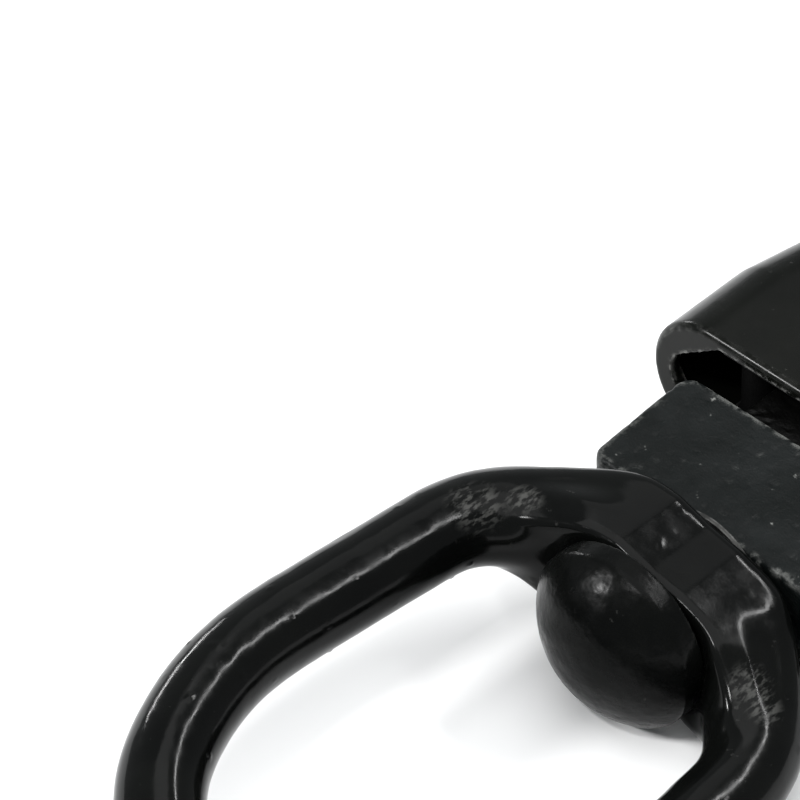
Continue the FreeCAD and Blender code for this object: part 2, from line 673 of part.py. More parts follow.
def make_load_tongue():
    """Forged bar bolted between the cheek plates, with the load eye outside the housing."""
    body = new_body("load_tongue")
    shank = new_sketch(body, "XY_Plane", "tongue_outline")
    polygon(shank, [
        (size("-tongue_half_width"), size("tongue_front")),
        (size("tongue_half_width"), size("tongue_front")),
        (size("tongue_half_width"), (0.0, "0")),
        (size("-tongue_half_width"), (0.0, "0")),
    ])
    pad(body, shank, "2 * tongue_half_thick")
    lug = new_sketch(body, "XY_Plane", "lug_outline")
    circle(lug, "lug_radius")
    last = pad(body, lug, "2 * tongue_half_thick")
    thick = VALUE["tongue_half_thick"]
    behind = VALUE["rear"] + 1
    last = dress(body, "Chamfer", last, lambda box: box.ZLength < 0.1
                 and abs(box.ZMin) > 0.9 * thick and box.XLength > 1.9 * VALUE["lug_radius"]
                 and box.YMax > behind, "tongue_edge")
    drill(body, "bush_hole", "XY_Plane", "load_bush_outer", "4 * tongue_half_thick")
    for place_name in ("bolt_near", "bolt_far"):
        drill(body, place_name + "_hole", "XY_Plane", "bolt_radius", "4 * tongue_half_thick",
              y=place_name)


def make_load_bush():
    keep(tube("load_bush_outer", "load_bore", "2 * tongue_half_thick",
              z="-tongue_half_thick"), "load_bush")


def make_rear_seal():
    """Rubber plug round the tongue, just inside the housing's rear wall."""
    body = new_body("rear_seal")
    seat = "(rear - shell_wall)"
    wall = VALUE["shell_wall"]
    narrow = shell_width(VALUE["rear"] - wall) - wall
    depth = VALUE["shell_half_depth"] - wall
    outline = new_sketch(body, "XZ_Plane", "seal_outline", "-(%s - seal_thick / 2)" % seat)
    stadium(outline, narrow, depth, "%s - shell_wall" % TAPER_WIDTH % seat,
            "shell_half_depth - shell_wall")
    pad(body, outline, "seal_thick")
    slot = new_sketch(body, "XZ_Plane", "slot_outline", "-(%s)" % seat)
    rectangle(slot, "tongue_half_width", "-tongue_half_thick", "tongue_half_thick")
    pocket(body, slot, "4 * seal_thick")


# ---------------------------------------------------------------- pivot, stops and bolts

TOP_SEAT = "(shell_half_depth + plate_washer)"


def make_pivot():
    """Flanged barrel from below and a screw from above: the pin that the block rocks on."""
    barrel = cylinder("pivot_radius", "2 * shell_half_depth + plate_washer", y="pivot_place",
                      z="-" + TOP_SEAT)
    flange = cylinder("pivot_head", "head_height", y="pivot_place",
                      z="-%s - head_height" % TOP_SEAT)
    thread = cylinder("pivot_screw", "shell_half_depth * 1.5", y="pivot_place",
                      z="-shell_half_depth / 2")
    socket = hexagon("socket_radius", "socket_depth + 1", y="pivot_place",
                     z="-%s - head_height - 1" % TOP_SEAT)
    keep(cut(cut(fuse(barrel, flange), thread), socket), "pivot_barrel")
    head = cylinder("pivot_head", "head_height", y="pivot_place", z=TOP_SEAT)
    shank = cylinder("pivot_screw", "shell_half_depth * 1.4 + plate_washer", y="pivot_place",
                     z="-shell_half_depth * 0.4")
    keep(fuse(head, shank), "pivot_screw")


def both_sides(make, height):
    """The same ring on the upper and the lower outer face."""
    return [make(TOP_SEAT + " - " + height), make("-" + TOP_SEAT)]


def make_plate_washers():
    pivot = both_sides(lambda z: tube("pivot_washer_outer", "pivot_radius", "plate_washer",
                                      y="pivot_place", z=z), "plate_washer")
    keep(group(*pivot), "pivot_washers")
    bolts = []
    for spot in ("bolt_near", "bolt_far"):
        bolts += both_sides(lambda z: tube("bolt_washer", "bolt_radius", "plate_washer",
                                           y=spot, z=z), "plate_washer")
    keep(group(*bolts), "bolt_washers")


def make_side_washers():
    """Thrust washers between the eye and the cheek plates."""
    outer_face = "cheek_inner - washer_gap"
    upper = tube("side_washer_outer", "eye_bush_inner", "side_washer_thick", y="pivot_place",
                 z="%s - side_washer_thick" % outer_face)
    lower = tube("side_washer_outer", "eye_bush_inner", "side_washer_thick", y="pivot_place",
                 z="-(%s)" % outer_face)
    keep(group(upper, lower), "eye_side_washers")


def make_grease_nipple():
    """Ball nipple on the pivot screw's head."""
    seat = TOP_SEAT + " + head_height"
    base = hexagon("nipple_base", "nipple_base_height", y="pivot_place", z=seat)
    neck = cylinder("nipple_neck", "nipple_base_height + nipple_neck_height", y="pivot_place",
                    z=seat)
    ball = sphere("nipple_ball", y="pivot_place",
                  z=seat + " + nipple_base_height + nipple_neck_height")
    keep(fuse(base, neck, ball), "pivot_grease_nipple")


def make_stops():
    """Posts riveted between the cheek plates, each with a rubber sleeve for the eye to meet."""
    inside = "shell_half_depth - shell_wall"
    sides = ("-stop_side", "stop_side")
    posts = [cylinder("post_radius", "2 * (%s)" % inside, x=side, y="stop_place",
                      z="-(%s)" % inside) for side in sides]
    keep(group(*posts), "stop_posts")
    sleeves = [tube("sleeve_radius", "post_radius", "2 * sleeve_half", x=side, y="stop_place",
                    z="-sleeve_half") for side in sides]
    keep(group(*sleeves), "stop_sleeves")


def make_tongue_bolts():
    """Two low-head bolts through housing, cheek plates and tongue, with thin nuts below."""
    bolts, nuts = [], []
    for spot in ("bolt_near", "bolt_far"):
        head = cylinder("bolt_head", "head_height", y=spot, z=TOP_SEAT)
        shank = cylinder("bolt_radius", "2 * %s + head_height" % TOP_SEAT, y=spot,
                         z="-%s - head_height" % TOP_SEAT)
        socket = hexagon("bolt_socket", "socket_depth + 1", y=spot,
                         z="%s + head_height - socket_depth" % TOP_SEAT)
        bolts.append(cut(fuse(head, shank), socket))
        nut = hexagon("nut_corner", "head_height", y=spot, z="-%s - head_height" % TOP_SEAT)
        hole = cylinder("bolt_radius", "head_height", y=spot,
                        z="-%s - head_height" % TOP_SEAT)
        nuts.append(cut(nut, hole))
    keep(group(*bolts), "tongue_bolts")
    keep(group(*nuts), "tongue_nuts")


# ---------------------------------------------------------------- build and export

def check_and_export():
    """Stop on any failed object or bad shape, then write one STEP file per sub-part."""
    doc.recompute()
    for thing in doc.Objects:
        bad = [word for word in ("Invalid", "Error") if word in thing.State]
        if bad:
            raise RuntimeError("%s is %s" % (thing.Label, bad))
    for part in PARTS:
        if part.Shape.isNull() or not part.Shape.isValid():
            raise RuntimeError("%s has no valid shape" % part.Label)
    os.makedirs("parts", exist_ok=True)
    for part in PARTS:
        part.Shape.exportStep("parts/%s.step" % part.Label)
        box = part.Shape.BoundBox
        print("%-20s volume %9.1f  solids %d  X %7.2f..%7.2f  Y %8.2f..%8.2f  Z %7.2f..%7.2f" % (
            part.Label, part.Shape.Volume, len(part.Shape.Solids), box.XMin, box.XMax,
            box.YMin, box.YMax, box.ZMin, box.ZMax))


def main():
    fill_sheet()
    make_bail_ring()
    make_crown_bush()
    make_swivel_pin()
    make_pin_washers()
    make_lock_dowel()
    make_neck_block()
    make_eye_bush()
    make_housing_shell()
    make_cheek_plate("cheek_plate_upper",
                     "(cheek_inner + shell_half_depth - shell_wall) / 2")
    make_cheek_plate("cheek_plate_lower",
                     "-(cheek_inner + shell_half_depth - shell_wall) / 2")
    make_load_tongue()
    make_load_bush()
    make_rear_seal()
    make_pivot()
    make_plate_washers()
    make_side_washers()
    make_grease_nipple()
    make_stops()
    make_tongue_bolts()
    check_and_export()


main()
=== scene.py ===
import json
import math

import bmesh
import bpy
import numpy as np
from mathutils import Matrix, Vector, noise


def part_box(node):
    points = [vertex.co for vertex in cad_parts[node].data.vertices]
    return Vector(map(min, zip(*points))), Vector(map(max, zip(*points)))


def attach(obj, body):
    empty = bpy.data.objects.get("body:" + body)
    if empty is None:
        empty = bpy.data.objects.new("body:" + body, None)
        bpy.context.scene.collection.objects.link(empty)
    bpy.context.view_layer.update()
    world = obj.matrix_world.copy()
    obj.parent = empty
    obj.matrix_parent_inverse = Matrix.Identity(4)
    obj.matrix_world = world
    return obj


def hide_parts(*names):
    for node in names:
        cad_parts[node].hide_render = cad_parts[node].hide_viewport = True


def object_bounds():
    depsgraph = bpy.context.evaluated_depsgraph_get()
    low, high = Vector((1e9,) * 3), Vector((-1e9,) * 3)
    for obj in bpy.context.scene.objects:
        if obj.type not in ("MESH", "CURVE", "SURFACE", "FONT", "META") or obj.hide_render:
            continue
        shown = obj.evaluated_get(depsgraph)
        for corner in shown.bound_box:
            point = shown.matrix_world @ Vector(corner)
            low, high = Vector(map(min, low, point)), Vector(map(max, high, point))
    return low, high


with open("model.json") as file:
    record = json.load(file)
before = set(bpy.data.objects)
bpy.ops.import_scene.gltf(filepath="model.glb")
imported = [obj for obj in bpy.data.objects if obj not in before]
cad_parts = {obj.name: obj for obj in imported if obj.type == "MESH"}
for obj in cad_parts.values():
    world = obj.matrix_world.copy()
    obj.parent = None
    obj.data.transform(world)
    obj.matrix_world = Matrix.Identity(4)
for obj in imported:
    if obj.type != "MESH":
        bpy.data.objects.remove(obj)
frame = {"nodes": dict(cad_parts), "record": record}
CAD_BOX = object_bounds()
NODES = frame["nodes"]
RECORD = frame["record"]
MM = 0.001

# ---------------------------------------------------------------- places from the frame, in mm
SWIVEL = {row["name"]: row for row in RECORD["behaviour"]["joints"]}["ring_swivel"]
EYE_AXIS = {row["name"]: row for row in RECORD["mounts"]}["ring_eye"]["axis"]
CROWN_MID = SWIVEL["pos_m"][1] / MM
REST_SWIVEL = math.atan2(EYE_AXIS[0], EYE_AXIS[2])
HEAD_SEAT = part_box("head_washer")[0][1] / MM
BLOCK_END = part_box("neck_block")[1][1] / MM
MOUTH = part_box("housing_shell")[0][1] / MM

# ---------------------------------------------------------------- ring sizes, in millimetres
# The ring's centre line, drawn flat; the swivel axis is x = 0 and y runs towards the load eye.
BAR = 6.65
CROWN_HALF = 7.4
CROWN_DEPTH = 11.3
SHOULDER_START = 7.9
SHOULDER_RADIUS = 21.3
ARM_FLARE = math.radians(5.0)
ARM_LENGTH = 25.8
ARM_CURVE = 83.0
SIDE_CURVE = 52.0
BOTTOM_CURVE = 29.0
STATION_STEP = 0.5
AROUND = 120
# Corner rounding of the crown on the opening's side and on the block's side.
SHARP_CORNERS = (1.3, 2.0)
SOFT_CORNERS = (1.8, 4.6)
# Distances from the crown's middle over which one shape turns into the next.
CORNER_BLEND = (9.0, 22.0)
OUTER_BLEND = (11.0, 27.0)
INNER_BLEND = (15.0, 34.0)
# The crown's flats: where they meet, and the depth there as a share of the full depth.
FACETS = ([-7.5, -1.2, 4.9, 13.0], [1.0, 0.965, 1.0, 0.935])
# How the depth runs out beyond the flats: places and depths to the left, then to the right.
OUTER_RUNOUT = ([-32, -20], [0.61, 0.77], [22, 32], [0.75, 0.61])
INNER_RUNOUT = ([-34, -20], [0.64, 0.84], [22, 34], [0.80, 0.64])
# Swelling of the shoulders: rise, middle and spread along the ring.
OUTER_SWELL = (0.11, 24.0, 9.0)
INNER_SWELL = (0.12, 27.0, 7.0)
# Hammer marks: distance from the crown, side, turn to the face in degrees, depth, reach.
HAMMER_MARKS = [(52.0, -1, 40, 0.12, 3.2), (40.0, 1, 66, 0.10, 3.6),
                (88.0, -1, 66, 0.14, 3.6), (70.0, 1, 35, 0.14, 3.4)]
# Painted highlights on the shoulders, streaky glints of light on the rough forging: x, y from the
# crown's middle, z, and radius.
SHOULDER_GLINTS = [(-26.2, -15.0, 7.5, 5.5), (-22.8, -9.2, 8.0, 3.6), (20.3, -6.9, 7.0, 4.2),
             (24.0, -7.8, 6.8, 3.6)]
# Range along Y where the block is painted near-black: painted shade inside the housing's mouth.
SHADED_RANGE = (MOUTH - 4.5, BLOCK_END + 1.0)

# ---------------------------------------------------------------- studio
FLOOR_HALF = 3.0
LIGHT_TABLE = [
    # name, bearing and height in degrees, distance, width, length in metres, power in watts
    ("overhead", 0.0, 89.0, 1.6, 1.6, 1.6, 15.0),
    ("fill", 122.0, 50.0, 1.5, 0.70, 0.50, 0.8),
    ("key", 272.0, 56.0, 1.5, 0.30, 0.12, 7.0),
    ("edge", 233.0, 31.0, 1.5, 0.26, 0.10, 15.0),
    ("strip_right", 66.0, 53.5, 1.4, 0.85, 0.045, 7.0),
    ("strip_left", 165.0, 12.0, 1.4, 0.4, 0.05, 3.0),
]
SKY_COLOUR = (0.94, 0.98, 1.0, 1.0)
SKY_STRENGTH = 0.46
CAMERA_AZIMUTH = math.radians(43.3)
CAMERA_ELEVATION = math.radians(43.25)
CAMERA_AIM = Vector((-55.4, -119.03, 0.85)) * MM
CAMERA_DISTANCE = 2.0
SEEN_WIDTH = 0.1152
SENSOR_WIDTH = 36.0


# ---------------------------------------------------------------- mesh helpers

def new_object(name, verts, faces, body):
    """Make a smooth mesh object from millimetre vertices and let it ride on a body."""
    mesh = bpy.data.meshes.new(name)
    mesh.from_pydata([tuple(v) for v in np.asarray(verts) * MM], [], faces)
    mesh.validate()
    outward = bmesh.new()
    outward.from_mesh(mesh)
    bmesh.ops.recalc_face_normals(outward, faces=outward.faces)
    outward.to_mesh(mesh)
    outward.free()
    mesh.shade_smooth()
    thing = bpy.data.objects.new(name, mesh)
    bpy.context.scene.collection.objects.link(thing)
    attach(thing, body)
    return thing


def loop_faces(rows, around):
    """Quads between successive rows of points; the last row joins the first."""
    faces = []
    for i in range(rows):
        following = (i + 1) % rows
        for j in range(around):
            k = (j + 1) % around
            faces.append((i * around + j, i * around + k, following * around + k,
                          following * around + j))
    return faces


def smoothstep(low, high, value):
    """0 below low, 1 above high, and a smooth rise between."""
    t = np.clip((value - low) / (high - low), 0.0, 1.0)
    return t * t * (3.0 - 2.0 * t)


def hump(value, middle, spread):
    """1 at the middle, falling smoothly to 0 on both sides."""
    return np.exp(-((value - middle) / spread) ** 2)


def noise_at(points, scale, seed):
    """Smooth noise in -1..1 at millimetre points, with features about 1/scale mm across."""
    shift = Vector((seed * 17.3, seed * 5.1, seed * 9.7))
    return np.array([noise.noise(Vector(p) * scale + shift) for p in points])


def apply_modifiers(thing):
    """Bake a piece's modifiers into its mesh."""
    bpy.context.view_layer.update()
    graph = bpy.context.evaluated_depsgraph_get()
    mesh = bpy.data.meshes.new_from_object(thing.evaluated_get(graph))
    thing.modifiers.clear()
    old, thing.data = thing.data, mesh
    bpy.data.meshes.remove(old)


def read_places(mesh):
    """Vertex places of a mesh, one row each."""
    flat = np.empty(len(mesh.vertices) * 3)
    mesh.vertices.foreach_get("co", flat)
    return flat.reshape(-1, 3)


def write_places(mesh, places):
    mesh.vertices.foreach_set("co", places.ravel())
    mesh.update()


# ---------------------------------------------------------------- bail ring

def ring_line():
    """Stations round the ring: positions, outward normals and distance from the crown."""
    outward = np.array([math.cos(ARM_FLARE), math.sin(ARM_FLARE)])
    downward = np.array([math.sin(ARM_FLARE), -math.cos(ARM_FLARE)])
    turn = np.array([SHOULDER_START, CROWN_MID])
    shoulder = turn - (0, SHOULDER_RADIUS)
    arm_top = shoulder + outward * SHOULDER_RADIUS
    arm_foot = arm_top + downward * ARM_LENGTH
    slow = arm_foot - outward * ARM_CURVE
    widest = slow + (ARM_CURVE, 0)
    side = widest - (SIDE_CURVE, 0)
    reach = SIDE_CURVE - BOTTOM_CURVE
    end = np.array([0.0, side[1] - math.sqrt(reach ** 2 - side[0] ** 2)])
    dip = math.atan2(side[1] - end[1], end[0] - side[0])

    points, normals = [], []

    def straight(a, b, normal):
        count = max(2, int(np.linalg.norm(b - a) / STATION_STEP))
        for t in np.arange(count) / count:
            points.append(a + (b - a) * t)
            normals.append(normal)

    def arc(centre, radius, first, last):
        count = max(2, int(abs(last - first) * radius / STATION_STEP))
        for angle in first + (last - first) * np.arange(count) / count:
            direction = np.array([math.cos(angle), math.sin(angle)])
            points.append(centre + direction * radius)
            normals.append(direction)

    straight(np.array([0.0, CROWN_MID]), turn, np.array([0.0, 1.0]))
    arc(shoulder, SHOULDER_RADIUS, math.pi / 2, ARM_FLARE)
    straight(arm_top, arm_foot, outward)
    arc(slow, ARM_CURVE, ARM_FLARE, 0.0)
    arc(side, SIDE_CURVE, 0.0, -dip)
    arc(end, BOTTOM_CURVE, -dip, -math.pi / 2)
    half_points, half_normals = np.array(points), np.array(normals)
    low = end - (0, BOTTOM_CURVE)
    mirror = np.array([-1.0, 1.0])
    points = np.vstack([half_points, [low], (half_points * mirror)[:0:-1]])
    normals = np.vstack([half_normals, [(0.0, -1.0)], (half_normals * mirror)[:0:-1]])
    gaps = np.linalg.norm(np.diff(points, axis=0, append=points[:1]), axis=1)
    along = np.concatenate([[0.0], np.cumsum(gaps)[:-1]])
    total = gaps.sum()
    return points, normals, np.minimum(along, total - along)


def crown_section(angles, inner_round, outer_round):
    """Crown outline in millimetres; each side of the ring has its own corner rounding."""
    out = np.zeros((len(angles), 2))
    for i, angle in enumerate(angles):
        u, v = math.cos(angle), math.sin(angle)
        rounding = outer_round if u > 0 else inner_round
        core = np.array([CROWN_HALF - rounding, CROWN_DEPTH - rounding])
        reach = min(CROWN_HALF / max(abs(u), 1e-6), CROWN_DEPTH / max(abs(v), 1e-6))
        spot = np.array([u, v]) * reach
        inside = np.clip(spot, -core, core)
        away = spot - inside
        length = np.linalg.norm(away)
        out[i] = inside + away / length * rounding if length > 1e-9 else spot
    return out


def depth_profile(signed, runout):
    """Depth along the ring: straight flats on the crown, the same line smoothed beyond it."""
    left, left_depths, right, right_depths = runout
    places = left + FACETS[0] + right
    depths = left_depths + FACETS[1] + right_depths
    crisp = np.interp(signed, places, depths)
    soft = np.mean([np.interp(signed + shift, places, depths) for shift in range(-4, 5)], axis=0)
    beyond = smoothstep(11.0, 16.0, np.abs(signed))
    return crisp * (1.0 - beyond) + soft * beyond


def ring_skin(points, normals, along):
    """Rows of skin points, one row round the bar for each station."""
    angles = (np.arange(AROUND) + 0.5) * 2 * math.pi / AROUND
    bar = np.column_stack([np.cos(angles), np.sin(angles)]) * BAR
    sharp, soft = crown_section(angles, *SHARP_CORNERS), crown_section(angles, *SOFT_CORNERS)
    inner = smoothstep(-0.25, 0.25, -np.cos(angles))
    outer_share = 1.0 - smoothstep(*OUTER_BLEND, along)
    inner_share = 1.0 - smoothstep(*INNER_BLEND, along)
    softening = smoothstep(*CORNER_BLEND, along)
    signed = along * np.where(points[:, 0] < 0, -1.0, 1.0)
    outer_depth = depth_profile(signed, OUTER_RUNOUT)
    inner_depth = depth_profile(signed, INNER_RUNOUT)
    outer_fat = 1.0 + OUTER_SWELL[0] * hump(along, *OUTER_SWELL[1:])
    inner_fat = 1.0 + INNER_SWELL[0] * hump(along, *INNER_SWELL[1:])
    rows = []
    for k, ((x, y), (nx, ny)) in enumerate(zip(points, normals)):
        crown = sharp * (1.0 - softening[k]) + soft * softening[k]
        part = outer_share[k] * (1.0 - inner) + inner_share[k] * inner
        deep = outer_depth[k] * (1.0 - inner) + inner_depth[k] * inner
        fat = outer_fat[k] * (1.0 - inner) + inner_fat[k] * inner
        u = (bar[:, 0] * (1.0 - part) + crown[:, 0] * part) * fat
        v = bar[:, 1] * (1.0 - part) + crown[:, 1] * deep * part
        rows.append(np.column_stack([x + nx * u, y + ny * u, v]))
    return np.array(rows)


def forged_relief(rows, points, along):
    """Skin of the forging: slow waves, calmer at the crown, and a few small raised nibs."""
    verts = rows.reshape(-1, 3)
    centre = np.repeat(np.column_stack([points, np.zeros(len(points))]), AROUND, axis=0)
    out = verts - centre
    out /= np.linalg.norm(out, axis=1)[:, None]
    calm = 1.0 - 0.75 * np.repeat(hump(along, 0.0, 16.0), AROUND)
    wave = 0.07 * noise_at(verts, 0.10, 1) + 0.035 * noise_at(verts, 0.34, 2)
    nibs = 0.16 * smoothstep(0.60, 0.78, noise_at(verts, 0.62, 11))
    return verts + out * ((wave - 0.08) * calm + nibs)[:, None]


def ring_flats(rows, points, normals, along):
    """Where each hammer mark sits on the skin: place, facing, depth and reach."""
    flats = []
    for where, side, turn, depth, reach in HAMMER_MARKS:
        wrong_side = np.where(points[:, 0] * side > 0, 0.0, 1e3)
        k = int(np.argmin(np.abs(along - where) + wrong_side))
        facing = np.array([*(normals[k] * math.cos(math.radians(turn))),
                           math.sin(math.radians(turn))])
        place = rows[k][np.argmax(rows[k] @ facing)]
        flats.append((place, facing, depth, reach))
    return flats


def hammer_flats(verts, flats):
    """Press shallow flats into ring points, near each mark's face only."""
    face_band, core = 2.5, 0.65
    for place, facing, depth, reach in flats:
        away = verts - place
        height = away @ facing
        side = np.linalg.norm(away - np.outer(height, facing), axis=1)
        share = 1.0 - smoothstep(core * reach, reach, side)
        press = np.clip(height + depth, 0.0, None) * share * (np.abs(height) < face_band)
        verts = verts - np.outer(press, facing)
    return verts


def tilt(verts):
    """Turn flat ring points about the swivel axis to where the ring rests."""
    c, s = math.cos(REST_SWIVEL), math.sin(REST_SWIVEL)
    x, y, z = verts[:, 0], verts[:, 1], verts[:, 2]
    return np.column_stack([x * c + z * s, y, -x * s + z * c])


def cut_bore(thing, box):
    """Bore a hole along Y, as wide as the box, right through a piece."""
    low, high = np.array(box[0]), np.array(box[1])
    middle, radius = (low + high) / 2, (high[0] - low[0]) / 2
    tool = bpy.data.meshes.new("bore")
    shape = bmesh.new()
    bmesh.ops.create_cone(shape, cap_ends=True, segments=96, radius1=radius, radius2=radius,
                          depth=(high[1] - low[1]) * 1.8,
                          matrix=Matrix.Translation(middle) @ Matrix.Rotation(math.pi / 2, 4, "X"))
    shape.to_mesh(tool)
    shape.free()
    cutter = bpy.data.objects.new("bore", tool)
    bpy.context.scene.collection.objects.link(cutter)
    modifier = thing.modifiers.new("bore", "BOOLEAN")
    modifier.operation, modifier.solver, modifier.object = "DIFFERENCE", "EXACT", cutter
    apply_modifiers(thing)
    bpy.data.objects.remove(cutter)


def make_ring():
    """Forged ring: round bar that swells into a deep, flat-sided crown with a bore."""
    points, normals, along = ring_line()
    rows = ring_skin(points, normals, along)
    flats = ring_flats(rows, points, normals, along)
    verts = hammer_flats(forged_relief(rows, points, along), flats)
    ring = new_object("forged_bail_ring", tilt(verts), loop_faces(len(points), AROUND),
                      "ring")
    cut_bore(ring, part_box("crown_bush"))
    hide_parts("bail_ring")
    return ring


# ---------------------------------------------------------------- pieces refined from their node

def smoothed(mesh, places, rounds):
    """Move every vertex halfway to the mean of its neighbours, round after round."""
    ends = np.empty(len(mesh.edges) * 2, dtype=int)
    mesh.edges.foreach_get("vertices", ends)
    ends = ends.reshape(-1, 2)
    neighbours = np.bincount(ends.ravel(), minlength=len(places))[:, None]
    for _ in range(rounds):
        total = np.zeros_like(places)
        np.add.at(total, ends[:, 0], places[ends[:, 1]])
        np.add.at(total, ends[:, 1], places[ends[:, 0]])
        places = 0.5 * places + 0.5 * total / neighbours
    return places


def refined(node, name, body, voxel, rounds, relief):
    """A finer closed copy of a CAD node: rounded edges, then relief cut inwards only."""
    thing = bpy.data.objects.new(name, NODES[node].data.copy())
    bpy.context.scene.collection.objects.link(thing)
    weld = bmesh.new()
    weld.from_mesh(thing.data)
    bmesh.ops.remove_doubles(weld, verts=weld.verts, dist=1e-6)
    weld.to_mesh(thing.data)
    weld.free()
    modifier = thing.modifiers.new("voxels", "REMESH")
    modifier.mode, modifier.voxel_size = "VOXEL", voxel * MM
    apply_modifiers(thing)
    mesh = thing.data
    places = smoothed(mesh, read_places(mesh), rounds)
    write_places(mesh, places)
    facing = np.empty(len(places) * 3)
    mesh.vertex_normals.foreach_get("vector", facing)
    write_places(mesh, places - facing.reshape(-1, 3) * (relief(places / MM) * MM)[:, None])
    mesh.materials.clear()
    mesh.shade_smooth()
    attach(thing, body)
    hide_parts(node)
    return thing


def cast_relief(points):
    """Depth of a cast skin: slow waves, grain and scattered pits."""
    pits = smoothstep(0.30, 0.58, noise_at(points, 0.75, 5))
    return (0.06 + 0.05 * noise_at(points, 0.16, 3) + 0.022 * noise_at(points, 1.1, 4)
            + 0.16 * pits)


def smooth_relief(points):
    """Depth of pressed plate: very slow, shallow waves."""
    return 0.02 + 0.015 * noise_at(points, 0.07, 6)


def head_relief(points):
    """The dome's uneven skin, in the opening only; the pin's shank keeps its surface."""
    dome = 1.0 - smoothstep(HEAD_SEAT - 0.7, HEAD_SEAT + 0.8, points[:, 1])
    return dome * (0.10 + 0.08 * noise_at(points, 0.16, 7) + 0.03 * noise_at(points, 0.5, 8))


# ---------------------------------------------------------------- materials

class Surface:
    """Builds one procedural material node by node, in object space."""

    def __init__(self, name):
        self.material = bpy.data.materials.new(name)
        self.material.use_nodes = True
        self.tree = self.material.node_tree
        self.shader = self.tree.nodes["Principled BSDF"]
        self.place = self.tree.nodes.new("ShaderNodeTexCoord").outputs["Object"]

    def node(self, kind, **values):
        made = self.tree.nodes.new(kind)
        for key, value in values.items():
            setattr(made, key, value)
        return made

    def link(self, source, target):
        self.tree.links.new(source, target)

    def noise(self, size_mm, detail=3.0, rough=0.55, stretch=None):
        """Noise whose features are about size_mm across; stretch is its scale on each axis."""
        made = self.node("ShaderNodeTexNoise")
        made.inputs["Scale"].default_value = 1.0 / (size_mm * MM)
        made.inputs["Detail"].default_value = detail
        made.inputs["Roughness"].default_value = rough
        source = self.place
        if stretch:
            mapping = self.node("ShaderNodeMapping")
            mapping.inputs["Scale"].default_value = stretch
            self.link(source, mapping.inputs["Vector"])
            source = mapping.outputs["Vector"]
        self.link(source, made.inputs["Vector"])
        return made.outputs["Fac"]

    def ramp(self, source, low, high, to_low=0.0, to_high=1.0):
        """Smooth change from to_low, where the source is low, to to_high, where it is high."""
        made = self.node("ShaderNodeMapRange", interpolation_type="SMOOTHSTEP")
        for key, value in (("From Min", low), ("From Max", high), ("To Min", to_low),
                           ("To Max", to_high)):
            made.inputs[key].default_value = value
        self.link(source, made.inputs["Value"])
        return made.outputs["Result"]

    def math(self, operation, first, second):
        made = self.node("ShaderNodeMath", operation=operation)
        for socket, value in zip(made.inputs, (first, second)):
            if isinstance(value, float):
                socket.default_value = value
            else:
                self.link(value, socket)
        return made.outputs[0]

    def edges(self, radius_mm, low, high):
        """1 along convex and concave edges, 0 on open faces."""
        bevel = self.node("ShaderNodeBevel", samples=4)
        bevel.inputs["Radius"].default_value = radius_mm * MM
        geometry = self.node("ShaderNodeNewGeometry")
        dot = self.node("ShaderNodeVectorMath", operation="DOT_PRODUCT")
        self.link(bevel.outputs["Normal"], dot.inputs[0])
        self.link(geometry.outputs["Normal"], dot.inputs[1])
        return self.ramp(dot.outputs["Value"], high, low)

    def near(self, place, radius_mm):
        """1 at a place in millimetres, falling to 0 at the radius."""
        away = self.node("ShaderNodeVectorMath", operation="DISTANCE")
        self.link(self.place, away.inputs[0])
        away.inputs[1].default_value = [value * MM for value in place]
        return self.ramp(away.outputs["Value"], radius_mm * MM, 0.35 * radius_mm * MM)

    def along_y(self, low_mm, high_mm):
        """1 between two places along Y in millimetres, with narrow soft ends."""
        parts = self.node("ShaderNodeSeparateXYZ")
        self.link(self.place, parts.inputs[0])
        y, soft = parts.outputs["Y"], 0.4
        return self.math("MULTIPLY", self.ramp(y, (low_mm - soft) * MM, (low_mm + soft) * MM),
                         self.ramp(y, (high_mm + soft) * MM, (high_mm - soft) * MM))

    def blend(self, mask, first, second):
        """First colour where the mask is 0, second where it is 1."""
        made = self.node("ShaderNodeMix", data_type="RGBA")
        for socket, value in ((made.inputs[6], first), (made.inputs[7], second)):
            if isinstance(value, tuple):
                socket.default_value = (*value, 1.0)
            else:
                self.link(value, socket)
        self.link(mask, made.inputs[0])
        return made.outputs[2]

    def bump(self, source, depth_mm, under=None):
        made = self.node("ShaderNodeBump")
        made.inputs["Strength"].default_value = 1.0
        made.inputs["Distance"].default_value = depth_mm * MM
        self.link(source, made.inputs["Height"])
        if under:
            self.link(under, made.inputs["Normal"])
        return made.outputs["Normal"]

    def wear_and_highlight_mask(self, amount, rim, scuff, painted_highlights):
        """1 along edges and in scuffs, where the paint is gone, and at the painted highlight
        places; on the housing's edges it is partly a painted highlight line.
        """
        edge = self.edges(*rim)
        broken = self.ramp(self.noise(1.6, 4.0), 0.42, 0.60)
        scuffs = self.ramp(self.noise(2.4, 5.0, 0.65), 0.66, 0.74)
        mask = self.math("MINIMUM", self.math("ADD", self.math("MULTIPLY", edge, broken),
                                              self.math("MULTIPLY", scuffs, scuff)), 1.0)
        mask = self.math("MULTIPLY", mask, amount)
        # Painted highlights: streaky patches of the light colour that stand in for glints on the
        # rough forging.
        for place, radius in painted_highlights:
            streaks = self.noise(0.8, 4.0, 0.6, (1.0, 0.35, 1.0))
            painted_glint = self.math("MULTIPLY", self.ramp(streaks, 0.46, 0.62, 0.0, 0.34),
                                  self.near(place, radius))
            mask = self.math("MAXIMUM", mask, painted_glint)
        return mask


# Near-black painted shade for the block inside the housing's mouth.
PAINTED_SHADE_BLACK = (0.0012, 0.0012, 0.0011)


